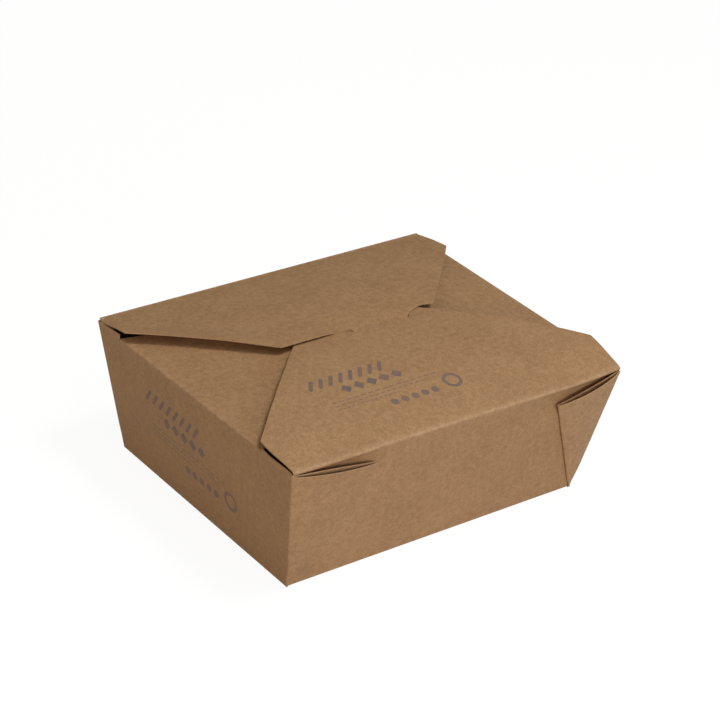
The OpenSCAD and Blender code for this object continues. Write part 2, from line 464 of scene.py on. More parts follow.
def stations(fixed, step):
    """The fixed stops with more between them, none further apart than a step."""
    fixed = np.unique(np.round(np.sort(fixed), 7))
    made = [fixed[0]]
    for low, high in zip(fixed, fixed[1:]):
        count = max(1, math.ceil((high - low) / step - 1e-6))
        made.extend(low + (high - low) * (np.arange(count) + 1) / count)
    return np.array(made)


def at_stations(points, stops):
    """Points of a line at given distances along it."""
    lengths = run_lengths(points)
    return np.stack([np.interp(stops, lengths, points[:, k]) for k in range(points.shape[1])], 1)


def board_arc(start, end, bow, reach, count):
    """Points of an arc in the YZ plane through two points, run on to a given y."""
    start, end = np.array(start), np.array(end)
    chord = end - start
    half = np.linalg.norm(chord) / 2
    radius = (half * half + bow * bow) / (2 * bow)
    up = np.array([-chord[1], chord[0]]) / (2 * half) * math.copysign(1.0, chord[0])
    middle = (start + end) / 2 - up * (radius - bow)
    y = np.linspace(start[0], reach, count)
    return np.stack([y, middle[1] + np.sqrt(radius ** 2 - (y - middle[0]) ** 2)], 1)


def add_object(name, data):
    """Puts new data in the scene as an object."""
    thing = bpy.data.objects.new(name, data)
    bpy.context.scene.collection.objects.link(thing)
    return thing


def add_mesh(name, points, faces, materials):
    """Puts a new mesh in the scene, with its materials."""
    mesh = bpy.data.meshes.new(name)
    mesh.from_pydata([tuple(p) for p in points], [], faces)
    mesh.validate()
    for material in materials:
        mesh.materials.append(material)
    return add_object(name, mesh)


def smooth(piece):
    """Shades a piece smooth, apart from its sharp edges."""
    piece.data.shade_smooth()
    piece.data.set_sharp_from_angle(angle=SHARP)


def thicken(piece, thickness):
    """Turns a skin of outer faces into closed board and makes it a plain mesh."""
    solid = piece.modifiers.new("board", "SOLIDIFY")
    solid.thickness, solid.offset, solid.use_even_offset = thickness, -1.0, False
    solid.material_offset, solid.material_offset_rim = INSIDE, CUT_EDGE
    settle(piece)
    smooth(piece)
    return piece


def settle(piece):
    """Applies what a piece's modifiers make, and removes them."""
    bpy.context.view_layer.update()
    done = bpy.data.meshes.new_from_object(
        piece.evaluated_get(bpy.context.evaluated_depsgraph_get()),
        preserve_all_data_layers=True,
        depsgraph=bpy.context.evaluated_depsgraph_get(),
    )
    old = piece.data
    piece.modifiers.clear()
    piece.data = done
    bpy.data.meshes.remove(old)
    done.name = piece.name


def grid_piece(name, grid, keep, wear_and_highlight, materials, thickness):
    """A piece from a grid of outer points, the cells to keep, and the lighter board at each point
    from raised fibres and a painted highlight.
    """
    rows, columns = grid.shape[:2]
    number = np.arange(rows * columns).reshape(rows, columns)
    cells = [number[:-1, :-1], number[:-1, 1:], number[1:, 1:], number[1:, :-1]]
    used, faces = np.unique(np.stack(cells, 2)[keep], return_inverse=True)
    faces = faces.reshape(-1, 4).tolist()
    piece = add_mesh(name, grid.reshape(-1, 3)[used], faces, materials)
    wear_and_highlight = np.broadcast_to(wear_and_highlight, grid.shape[:2]).ravel()[used]
    piece.data.attributes.new(WEAR_AND_HIGHLIGHT, "FLOAT", "POINT").data.foreach_set("value", wear_and_highlight)
    return thicken(piece, thickness)


def near(value, places, reach):
    """1 at any of the places, and less further off, to 0 at the reach."""
    gaps = [np.clip(1 - np.abs(value - place) / reach, 0, 1) for place in places]
    return np.max(gaps, axis=0) ** 1.5


def all_cells(grid, stops):
    """A mask that keeps each cell of a grid, and the middle of each row of cells."""
    return np.ones((grid.shape[0] - 1, grid.shape[1] - 1), bool), (stops[1:] + stops[:-1]) / 2


def leans(sizes):
    """How far the side walls and the long walls lean out for each length that they rise."""
    return ((sizes.top_length - sizes.base_length) / 2 / sizes.wall_height,
            (sizes.top_depth - sizes.base_depth) / 2 / sizes.wall_height)


def grid_of(x, y, z):
    """A grid of points, from coordinates that may be the same along a row."""
    return np.stack(np.broadcast_arrays(x, y, z), 2)


def column_places(edges, counts):
    """Places of the columns across a row, in groups that meet at the given edges."""
    parts = [np.linspace(a, b, n, endpoint=False) for a, b, n in zip(edges, edges[1:], counts)]
    return np.r_[np.concatenate(parts), edges[-1]]


# Long walls, base and front flap

# Longest step between rows, and the gap between the two long flaps where they lap
GRID_STEP, LAP_GAP = 1.7 * MM, 0.6 * MM

# The slit in the front flap: its lip and rear, and the places of its ends
LIP, SLIT_REAR = -1.0 * MM, 1.8 * MM
SLIT_LEFT, SLIT_RIGHT_LIP, SLIT_RIGHT_REAR = -3.9 * MM, 24.2 * MM, 26.9 * MM

# The back wall ends just in front of and below the bead of the back flap's crease
BEHIND_BEAD, BELOW_BEAD = 0.06 * MM, 0.45 * MM

# The strip's edges stay inside the corner folds, up to a share of the front wall's height
WALL_INSET, BASE_INSET, INSET_END = 0.65 * MM, 0.72 * MM, 0.935

# How the board gave when the box was folded
FOLD_BULGE, BULGE_BELOW, BULGE_ABOVE = 2.0 * MM, 8 * MM, 22 * MM
WEB_RECESS, CORNER_TUCK, WALL_WAVE = 1.9 * MM, 1.9 * MM, 0.06 * MM
LEFT_LEAN, RIGHT_LEAN = 1.0 * MM, 2.6 * MM
SHOULDER_LIFT, LIP_LIFT, REAR_PRESS, LAP_PRESS = 1.3 * MM, 0.45 * MM, 0.4 * MM, 0.45 * MM


def front_flap_arc(sizes):
    """Top of the front flap from its fold to its end, as y and z."""
    return board_arc(
        [-sizes.top_depth / 2, sizes.wall_height],
        [sizes.lap, sizes.lid_top - sizes.board - LAP_GAP],
        sizes.front_bow, sizes.lap + sizes.overlap, 56,
    )


def back_flap_arc(sizes):
    """Top of the back flap from its hinge to past the tongue's tip, as y and z."""
    return board_arc(
        [sizes.top_depth / 2, sizes.wall_height], [sizes.lap, sizes.lid_top],
        sizes.back_bow, sizes.lap - 17 * MM, 160,
    )


def height_on(arc, y):
    """Height of an arc at places along the box's depth."""
    order = np.argsort(arc[:, 0])
    return np.interp(y, arc[order, 0], arc[order, 1])


def flap_taper(sizes):
    """How fast a long flap's half width shrinks past its shoulder."""
    narrower = (sizes.top_length - sizes.lap_width) / 2
    return narrower / (sizes.top_depth / 2 - sizes.lap - sizes.shoulder)


def fold_bulge(share):
    """How far the front wall's top fold bulges out along the box, from -1 to 1."""
    shape = (1 - share ** 2) * (1 + 2.17 * share + 3.61 * share ** 2)
    return FOLD_BULGE * np.clip(shape, 0, None) / 2.31


def front_flap_lift(x, y):
    """Lift of the front flap's right shoulder, and its lift and press at the slit and lap."""
    x, y, lip_y, rear_y = x / MM, y / MM, LIP / MM, SLIT_REAR / MM
    shoulder = ease(15, 86, x) * between(-69.4, -50, -40, 2, y)
    over_tongue = between(-12, -3, 25, 30, x) * ease(-20, lip_y, y) * (1 - ease(lip_y, rear_y, y))
    behind_slit = between(-9, -5, 31, 36, x) * ease(lip_y, rear_y, y) * (1 - 0.6 * ease(3, 11, y))
    left_lap = ease(-8, -22, x) * ease(-8, 2, y)
    return (SHOULDER_LIFT * shoulder + LIP_LIFT * over_tongue
            - REAR_PRESS * behind_slit - LAP_PRESS * left_lap)


def strip_section(sizes):
    """The long strip's section as y and z, and the first and last points of its folds."""
    half_base = sizes.base_depth / 2
    back_top = (sizes.top_depth / 2 - BEHIND_BEAD, sizes.wall_height - BELOW_BEAD)
    flap = front_flap_arc(sizes)
    return folded_line(
        [back_top, (half_base, 0), (-half_base, 0), *flap],
        [sizes.foot_round, sizes.foot_round, sizes.top_round] + [0] * (len(flap) - 2),
    )


def bend_strip(grid, shares, past_fold, flap_rows):
    """Bends the strip round the front wall's top fold as the folded board does.

    Past fold is each row's distance along the strip from the middle of that fold.
    """
    x, y = grid[:, :, 0].copy(), grid[:, :, 1].copy()
    left, right = np.clip(-shares, 0, 1), np.clip(shares, 0, 1)
    below = np.clip(1 + past_fold / BULGE_BELOW, 0, 1) ** 1.4 * (past_fold <= 0)
    above = np.clip(1 - past_fold / BULGE_ABOVE, 0, 1) ** 2 * (past_fold > 0)
    grid[:, :, 1] -= fold_bulge(shares) * (below + above)
    beside_web = between(28 * MM, 50 * MM, 83 * MM, 86.2 * MM, np.abs(x))
    grid[:, :, 1] += WEB_RECESS * beside_web * between(
        0.8 * MM, 3.6 * MM, 8 * MM, 17 * MM, -past_fold)
    grid[:, :, 0] += CORNER_TUCK * left ** 6 * between(-5 * MM, 0, 0, 17 * MM, past_fold)
    toward_end = ease(-50 * MM, 4 * MM, y) * flap_rows[:, None]
    grid[:, :, 0] += (LEFT_LEAN * left ** 2 + RIGHT_LEAN * right ** 6) * toward_end
    grid[flap_rows, :, 2] += front_flap_lift(grid[flap_rows, :, 0], grid[flap_rows, :, 1])


def main_strip(sizes, materials):
    """Back wall, base, front wall and front flap as one folded strip."""
    line, ends = strip_section(sizes)
    distance = run_lengths(line)
    marks = [distance[point] for fold in ends[:3] for point in fold]
    foot_back, base_back, base_front, foot_front, fold_start, flap_start = marks
    on_flap = slice(ends[2][1], None)

    def run_at(y):
        """Distance along the strip to a place on the front flap."""
        return np.interp(y, line[on_flap, 0], distance[on_flap])

    shoulder_y = -sizes.top_depth / 2 + sizes.shoulder
    lip_run, rear_run = run_at(LIP), run_at(SLIT_REAR)
    level = foot_front + (fold_start - foot_front) * INSET_END
    folds = [distance[i] for a, b in ends[:3] for i in range(a, b + 1)]
    stops = stations(np.r_[distance[0], folds, level, run_at(shoulder_y), lip_run, rear_run,
                           distance[-1]], GRID_STEP)
    y, z = at_stations(line, stops).T

    foot_half, top_half = sizes.base_length / 2, sizes.top_length / 2
    level_half = foot_half - WALL_INSET + (top_half - foot_half) * INSET_END
    wide = np.interp(
        stops, [distance[0], foot_back, base_back, base_front, foot_front, level, fold_start],
        [top_half - WALL_INSET, foot_half - WALL_INSET, foot_half - BASE_INSET,
         foot_half - BASE_INSET, foot_half - WALL_INSET, level_half, top_half],
    )
    wide -= (y - shoulder_y) * flap_taper(sizes) * (stops > run_at(shoulder_y))

    # Columns meet at the slit's two ends, and run on from there to the strip's other end
    lip_wide, rear_wide = np.interp([lip_run, rear_run], stops, wide)
    slit_left = np.interp(stops, [lip_run, rear_run], [SLIT_LEFT / lip_wide, SLIT_LEFT / rear_wide])
    slit_right = np.interp(
        stops, [lip_run, rear_run], [SLIT_RIGHT_LIP / lip_wide, SLIT_RIGHT_REAR / rear_wide])
    counts = (34, 30, 16)
    shares = np.array([column_places([-1, a, b, 1], counts) for a, b in zip(slit_left, slit_right)])
    grid = grid_of(shares * wide[:, None], y[:, None], z[:, None])

    run = stops[:, None]
    fold_run = (fold_start + flap_start) / 2
    bend_strip(grid, shares, run - fold_run, stops > flap_start - 1e-9)
    up_wall = np.clip((run - foot_front - 8 * MM) / (fold_start - foot_front - 20 * MM), 0, 1)
    waves = np.sin(grid[:, :, 0] / (17 * MM) + run / (29 * MM)) * np.sin(run / (13 * MM))
    grid[:, :, 1] += WALL_WAVE * waves * np.sin(np.pi * up_wall)

    keep, middle = all_cells(grid, stops)
    in_slit = (middle > lip_run) & (middle < rear_run)
    keep[in_slit, counts[0]:counts[0] + counts[1]] = False
    feet = [(foot_back + base_back) / 2, (base_front + foot_front) / 2]
    # Lighter band along the top fold and the feet: raised fibres, plus a painted highlight along
    # the top fold
    wear_and_highlight = np.maximum(near(run, [fold_run], 2.6 * MM), 0.6 * near(run, feet, 1.6 * MM))
    return grid_piece("walls_and_front_flap", grid, keep, wear_and_highlight, materials, sizes.board)


# Side walls with their flaps

class Side(NamedTuple):
    """One side wall and its flap, with what differs between the two as they were folded."""

    side: int  # -1 on the left and 1 on the right
    webs: tuple  # the corner webs that it meets, front and back
    lift: float  # of the flap's fold at its middle
    tilt: float  # further lift of the fold at its front end
    rise: float  # angle at which the flap rises towards the middle of the box
    ear_gaps: tuple  # from the ears to the flaps above them, front and back
    narrow: float  # how much the flap's front end stops short
    tuck: float  # how far the front ear's point leans in
    nick: bool  # whether the wall is nicked at the flap's back end


SIDES = {
    "left_side": Side(-1, ("front_left", "back_left"), 0.25 * MM, 0.65 * MM, math.radians(5),
                      (1.0 * MM, 0.8 * MM), 3.5 * MM, 1.9 * MM, True),
    "right_side": Side(1, ("front_right", "back_right"), 0.9 * MM, 0.35 * MM, math.radians(3),
                       (0.9 * MM, 0.8 * MM), 0.0, 0.0, False),
}

# Columns of cells in an ear, in the slot beside it and in the flap
EAR, SLOT_CELLS, FLAP = 8, 2, 54
SLOT_WIDTH, NICK_WIDTH, NICK_DEPTH = 0.25 * MM, 0.45 * MM, 0.8 * MM

# Radii of a side wall's folds and its swell, the slope of the ears' tops towards the flap
# in front and at the back, and how far out the ears may reach
SIDE_FOOT, SIDE_FOLD, SIDE_SWELL = 0.72 * MM, 1.0 * MM, 0.25 * MM
RAMP_FRONT, RAMP_BACK, EAR_LIMIT = 1.5 * MM, 0.7 * MM, 86.2 * MM


def settle_side(grid, shape, z, run, wall_top, fold_run, wall_half, sizes):
    """Drops a side wall's corners to its webs, lifts its flap's fold and swells the wall."""
    y = np.abs(grid[:, :, 1])
    flap_half, high = sizes.side_flap_width / 2, sizes.side_height
    lean, _ = leans(sizes)
    up, on_wall = z / high, run <= wall_top
    web_drops = [CORNERS[name].corner_drop for name in shape.webs]
    drop = np.where(grid[:, :, 1] < 0, *web_drops) * 0.99
    fall = (high - sizes.wall_height + drop) * np.clip(
        (y - flap_half) / (sizes.top_depth / 2 - flap_half), 0, 1)
    grid[:, :, 2] -= fall * up * on_wall
    grid[:, :, 0] -= shape.side * fall * up * lean * on_wall
    level = shape.lift - shape.tilt * grid[:, :, 1] / flap_half
    with_fold = up ** 2 * (1 - ease(flap_half, flap_half + 12 * MM, y))
    share = np.where(run <= fold_run, with_fold, 1.0)
    grid[:, :, 2] += level * share * (1 - ease(0.0, sizes.side_flap_reach, run - fold_run))
    swell = np.sin(np.pi * np.clip(up, 0, 1)) * np.cos(grid[:, :, 1] / (sizes.base_depth / 2) * 1.4)
    within = np.clip(1 - (y / wall_half) ** 6, 0, 1)
    grid[:, :, 0] += shape.side * SIDE_SWELL * swell * within * on_wall


def raise_ears(grid, shape, rows, shares, is_ear, sizes):
    """Stands the ears beside a side flap up to just below the long flaps."""
    foot = grid[rows[0] - 1, is_ear]
    x, y, z = np.abs(foot[:, 0]), foot[:, 1], foot[:, 2]
    lean, _ = leans(sizes)
    in_front = y < 0
    lids = np.where(in_front, height_on(front_flap_arc(sizes), y),
                    height_on(back_flap_arc(sizes), y))
    toward_flap = np.clip((sizes.top_depth / 2 - np.abs(y)) / (16 * MM), 0, 1)
    ramp = np.where(in_front, RAMP_FRONT, RAMP_BACK) * toward_flap ** 1.5
    tops = np.maximum(lids - sizes.board - np.where(in_front, *shape.ear_gaps) - ramp, z)
    tucked = shape.tuck * (1 - ease(0, 0.9, toward_flap)) * in_front
    top_x = np.minimum(x + (tops - z) * lean, EAR_LIMIT) - tucked
    for row, share in zip(rows, shares):
        grid[row, is_ear, 0] = shape.side * (x + (top_x - x) * share)
        grid[row, is_ear, 1] = y
        grid[row, is_ear, 2] = z + (tops - z) * share


def side_piece(name, shape, sizes, materials):
    """One side wall and its flap, with the ears that stand beside the flap."""
    half, high = sizes.base_length / 2, sizes.side_height
    lean, depth_lean = leans(sizes)
    fold_x = half + lean * high
    flap_end = (fold_x - sizes.side_flap_reach, high + sizes.side_flap_reach * math.tan(shape.rise))
    line, ends = folded_line(
        [(half - 0.75 * MM, 0), (half, 0), (fold_x, high), flap_end], [SIDE_FOOT, SIDE_FOLD])
    distance = run_lengths(line)
    wall_top, flap_start = distance[ends[1][0]], distance[ends[1][1]]
    fold_run, nick_foot = (wall_top + flap_start) / 2, wall_top - NICK_DEPTH
    folds = [distance[i] for a, b in ends for i in range(a, b + 1)]
    stops = stations(np.r_[distance[0], folds, nick_foot, distance[-1]], GRID_STEP)
    x, z = at_stations(line, stops).T

    spare = sizes.web_fold_round * 2 + 0.05 * MM - sizes.corner_round
    wall_half = sizes.base_depth / 2 + depth_lean * z + spare
    flap_half = sizes.side_flap_width / 2
    past_wall = stops > wall_top
    ear_rows = past_wall & (stops < flap_start + 1e-7)
    over = np.clip(fold_x - x, 0, None) * (stops > fold_run)
    flap_edge = flap_half - over * math.tan(sizes.side_flap_taper) * past_wall
    back_width = NICK_WIDTH if shape.nick else SLOT_WIDTH
    counts = (EAR, SLOT_CELLS, FLAP, SLOT_CELLS, EAR)
    y = []
    for inner, outer, free in zip(flap_edge, wall_half, past_wall & ~ear_rows):
        cut = inner if free else flap_half
        outer = inner + 16 * MM if free else outer
        y.append(column_places([-outer, shape.narrow - cut - SLOT_WIDTH, shape.narrow - inner,
                                inner, cut + back_width, outer], counts))
    grid = grid_of(shape.side * x[:, None], np.array(y), z[:, None])
    if shape.side < 0:
        grid = grid[:, ::-1]  # from the back, so that the outer skin faces out

    run = stops[:, None]
    settle_side(grid, shape, z[:, None], run, wall_top, fold_run, wall_half[:, None], sizes)
    point = np.arange(grid.shape[1])
    is_ear = (point <= EAR) | (point >= sum(counts[:4]))
    shares = (stops[ear_rows] - wall_top) / (flap_start - wall_top)
    raise_ears(grid, shape, np.nonzero(ear_rows)[0], shares, is_ear, sizes)

    keep, middle = all_cells(grid, stops)
    slots = slice(EAR, EAR + SLOT_CELLS), slice(sum(counts[:3]), sum(counts[:4]))
    for slot in slots:
        keep[middle > wall_top, slot] = False
    for ear in (slice(0, EAR), slice(sum(counts[:4]), None)):
        keep[middle > flap_start, ear] = False
    if shape.nick:
        back_slot = slots[0] if shape.side < 0 else slots[1]
        keep[(middle > nick_foot) & (middle <= wall_top), back_slot] = False
    foot_run = (distance[ends[0][0]] + distance[ends[0][1]]) / 2
    # Lighter band along the flap's fold and the foot: raised fibres, plus a painted highlight along
    # the fold
    wear_and_highlight = np.maximum(0.8 * near(run, [fold_run], 2.2 * MM), 0.6 * near(run, [foot_run], 1.4 * MM))
    return grid_piece(name, grid, keep, wear_and_highlight, materials, sizes.board)


# Corner webs

class Web(NamedTuple):
    """One corner web, with what differs between the four as they were folded."""

    side: int  # -1 on the left and 1 on the right
    front: int  # -1 at the front and 1 at the back
    corner_drop: float  # of the top edge below the wall's, at the upright corner
    fold_drop: float  # the same at the web's own fold
    outer_spring: float  # how far the outer layer stands off the inner one
    inner_spring: float  # how far the inner layer stands off the wall
    inner_rise: float  # how far the inner layer's edge shows above the outer one's
    turned: float  # of the web's fold, from where the flat sheet has it


CORNERS = {
    "front_left": Web(-1, -1, 1.2 * MM, 8.0 * MM, 0.031, 0.008, 0.012, math.radians(4.4)),
    "front_right": Web(1, -1, 1.5 * MM, 9.9 * MM, 0.040, 0.010, 0.0, math.radians(-3.9)),
    "back_left": Web(-1, 1, 1.3 * MM, 9.0 * MM, 0.022, 0.008, 0.012, math.radians(1.0)),
    "back_right": Web(1, 1, 1.8 * MM, 9.6 * MM, 0.022, 0.009, 0.008, math.radians(-1.2)),
}


def web_tree():
    """Geometry nodes for a doubled corner web: round the corner, over, fold and back."""
    numbers = {
        "Web Angle": 0.6, "Corner Length": 0.06, "Fold Length": 0.06, "Fold Radius": 0.0006,
        "Corner Radius": 0.001, "Corner Turn": 1.55, "Outer Spring": 0.04,
        "Inner Spring": 0.01, "Inner Rise": 0.016, "Inset": 0.0006, "Start": 0.013,
    }
    tree, wires, end = new_group(
        "corner web", "GeometryNodeTree",
        [*((label, "NodeSocketVector", None) for label in ("Foot", "Edge", "Inward", "Outward")),
         ("Turn Over", "NodeSocketBool", False),
         *((label, "NodeSocketFloat", value) for label, value in numbers.items()),
         ("Material", "NodeSocketMaterial", None)],
        [("Geometry", "NodeSocketGeometry")],
    )
    parts = {"corner": 8, "over": 30, "fold": 10, "back": 18}
    total = sum(parts.values())
    skin = add_node(tree, "GeometryNodeMeshGrid", Size_X=1.0, Size_Y=1.0,
                    Vertices_X=total + 1, Vertices_Y=40)
    place = add_node(tree, "GeometryNodeInputPosition")
    split = add_node(tree, "ShaderNodeSeparateXYZ", Vector=Wire(tree, place.outputs[0]))
    across = (Wire(tree, split.outputs["X"]) + 0.5) * total
    along = Wire(tree, split.outputs["Y"]) + 0.5
    stage, begin = {}, 0
    for part, count in parts.items():
        stage[part] = ((across - begin) / count).clamp()
        begin += count
    round_it, over, turn, back = (stage[p] for p in ("corner", "over", "fold", "back"))

    whole = wires["Web Angle"]
    phi = whole * (over - back)
    corner, fold = wires["Corner Length"], wires["Fold Length"]
    reach = corner * fold * whole.math("SINE") / (
        corner * phi.math("SINE") + fold * (whole - phi).math("SINE"))
    rise = 1.0 + wires["Inner Rise"] * (back * math.pi).math("SINE") * along
    ray = reach * (wires["Start"] + along * (1.0 - wires["Start"])) * rise

    def swell(share):
        """A soft hump over a stage, full in its middle."""
        return (share.math("POWER", 0.95) * math.pi).math("SINE").clamp().math("POWER", 0.7)

    half_turn = turn * math.pi
    hook = wires["Fold Radius"] * half_turn.math("SINE") * (ray / 0.006).clamp()
    bend = wires["Corner Turn"] * (1.0 - round_it)
    start_gap = wires["Corner Radius"] * (1.0 - bend.math("SINE")) * (1.0 - over)
    spring = wires["Outer Spring"] * swell(over) + wires["Inner Spring"] * swell(1.0 - back)
    to_inside = (ray * phi.math("SINE") + hook * whole.math("COSINE") + start_gap
                 + wires["Inset"] * back)
    up_edge = ray * phi.math("COSINE") - hook * whole.math("SINE")
    thin = (ray / 0.012).clamp().math("POWER", 0.5)
    out = (thin * wires["Fold Radius"] * (half_turn.math("COSINE") + 1.0) + 0.00005
           - wires["Corner Radius"] * (1.0 - bend.math("COSINE")) + ray * spring)
    position = summed(wires["Foot"], scaled(wires["Edge"], up_edge),
                      scaled(wires["Inward"], to_inside), scaled(wires["Outward"], out))
    placed = add_node(tree, "GeometryNodeSetPosition", Geometry=Wire(tree, skin.outputs["Mesh"]),
                      Position=position)
    # Lighter board along the upright corner and the web's fold: raised fibres, plus a painted
    # highlight
    at_corner = 1.0 - (round_it - 0.5).math("ABSOLUTE") * 1.2 - over * 12.0
    at_fold = (1.0 - (1.0 - over) * 12.0) * (1.0 - back * 9.0).clamp()
    wear_and_highlight = at_corner.clamp() * 0.55 + at_fold.clamp() * 0.6
    placed = add_node(tree, "GeometryNodeStoreNamedAttribute",
                      {"data_type": "FLOAT", "domain": "POINT"}, Name=WEAR_AND_HIGHLIGHT,
                      Geometry=Wire(tree, placed.outputs[0]), Value=wear_and_highlight)
    turned = add_node(tree, "GeometryNodeFlipFaces", Mesh=Wire(tree, placed.outputs[0]))
    choose = add_node(tree, "GeometryNodeSwitch", {"input_type": "GEOMETRY"},
                      Switch=wires["Turn Over"])
    tree.links.new(placed.outputs[0], choose.inputs["False"])
    tree.links.new(turned.outputs[0], choose.inputs["True"])
    real = add_node(tree, "GeometryNodeRealizeInstances", Geometry=Wire(tree, choose.outputs[0]))
    dressed = add_node(tree, "GeometryNodeSetMaterial", Geometry=Wire(tree, real.outputs[0]),
                       Material=wires["Material"])
    tree.links.new(dressed.outputs[0], end.inputs["Geometry"])
    return tree


def corner_web(name, web, sizes, tree, materials):
    """One doubled corner web on the outside of a long wall."""
    flare_x = (sizes.top_length - sizes.base_length) / 2
    flare_y = (sizes.top_depth - sizes.base_depth) / 2
    lean, side_lean = (math.atan2(flare, sizes.wall_height) for flare in (flare_y, flare_x))
    slant = sizes.wall_height / math.cos(lean)
    off_upright = math.atan2(flare_x, slant)
    outward = Vector((0.0, web.front * math.cos(lean), -math.sin(lean)))
    side_out = Vector((web.side * math.cos(side_lean), 0.0, -math.sin(side_lean)))
    edge = Vector((web.side * flare_x, web.front * flare_y, sizes.wall_height)).normalized()
    inward = outward.cross(edge)
    inward = inward if inward.x * web.side < 0 else -inward
    web_angle = sizes.web_fold + web.turned
    values = {
        "Foot": Vector((web.side * sizes.base_length / 2, web.front * sizes.base_depth / 2, 0.0)),
        "Edge": edge, "Inward": inward, "Outward": outward,
        "Turn Over": web.side * web.front < 0, "Web Angle": web_angle,
        "Corner Length": (slant - web.corner_drop) / math.cos(off_upright),
        "Fold Length": (slant - web.fold_drop) / math.cos(web_angle - off_upright),
        "Fold Radius": sizes.web_fold_round, "Corner Radius": sizes.corner_round,
        "Corner Turn": outward.angle(side_out),
        "Outer Spring": web.outer_spring, "Inner Spring": web.inner_spring,
        "Inner Rise": web.inner_rise, "Inset": sizes.board + 0.1 * MM,
        "Material": materials[OUTSIDE],
    }
    piece = add_mesh(name, [], [], [])
    modifier = piece.modifiers.new("web", "NODES")
    modifier.node_group = tree
    for item in tree.interface.items_tree:
        if item.name in values:
            modifier[item.identifier] = values[item.name]
    settle(piece)
    for material in materials[INSIDE:]:
        piece.data.materials.append(material)
    return thicken(piece, sizes.board)


# Back flap

# The tongue's left edge, its tip and the round of its corners
TONGUE_LEFT, TONGUE_TIP, TONGUE_ROUND = -4.35 * MM, -13.2 * MM, 4 * MM

# Middle and radius of the round cut at the tongue's right root, which runs out at the lap
ROOT_X, ROOT_Y, ROOT = 35.1 * MM, -9.3 * MM, 14.5 * MM
NOTCH_END = 41.0 * MM

# The tongue's dip under the lip of the slit, as y and z of its top in millimetres
TONGUE_DIP = [
    (-13.5, 66.9), (-9.0, 67.3), (-6.0, 67.6), (-3.0, 67.92), (-1.0, 68.1), (0.5, 68.22),
    (1.8, 68.32), (3.0, 68.4), (5.0, 68.5), (7.0, 68.57), (9.5, 68.6), (12.0, 68.58),
    (15.0, 68.48), (18.0, 68.33),
]

# How the back flap gave: its skew, its narrower hinge end, its lifted left edge and the
# droop of its left end at the hinge
FLAP_SKEW, HINGE_NARROW, EDGE_LIFT, END_DROOP = 0.9 * MM, 0.9 * MM, 0.65 * MM, 0.7 * MM

# The bead of the crease, which ends short of the flap's edges, and its sides and runs
BEAD_RADIUS, BEAD_INSET, BEAD_SIDES, BEAD_RUNS = 0.34 * MM, 0.9 * MM, 14, 40


def notch(x, lap):
    """How far the front edge is cut back beside the tongue."""
    curve = ROOT_Y + np.sqrt(np.clip(ROOT ** 2 - (x - ROOT_X) ** 2, 0, None))
    line = ROOT_Y + ROOT + (lap - ROOT_Y - ROOT) * (x - ROOT_X) / (NOTCH_END - ROOT_X)
    return np.clip(np.where(x < ROOT_X, curve, line) - lap, 0, None)


def tongue_outline(y):
    """Left and right edges of the tongue at rows in front of the lap."""
    in_root = np.clip(ROOT ** 2 - (y - ROOT_Y) ** 2, 0, None)
    right = np.where(y > ROOT_Y, ROOT_X - np.sqrt(in_root), ROOT_X - ROOT)
    into_round = np.clip(TONGUE_TIP + TONGUE_ROUND - y, 0, TONGUE_ROUND)
    rounding = TONGUE_ROUND - np.sqrt(TONGUE_ROUND ** 2 - into_round ** 2)
    return TONGUE_LEFT + rounding, right - rounding


def back_flap_height(x, y, sizes):
    """Top of the back flap, with the dip of its tongue under the lip."""
    height = height_on(back_flap_arc(sizes), y)
    shoulder_y = sizes.top_depth / 2 - sizes.shoulder
    from_left = (x + sizes.top_length / 2 - np.clip(shoulder_y - y, 0, None)) / MM
    x, y = x / MM, y / MM
    dip_y, dip_z = np.array(TONGUE_DIP).T
    on_tongue = between(-20, -3.5, 31, 38, x) * (1 - ease(12, 18, y))
    height = height + (np.interp(y, dip_y, dip_z) * MM - height) * on_tongue
    left_edge = ease(16, 2, from_left) * ease(66, 50, y) * ease(3, 22, y)
    left_end = ease(-78, -86, x) * ease(56, 68, y)
    return height + EDGE_LIFT * left_edge - END_DROOP * left_end


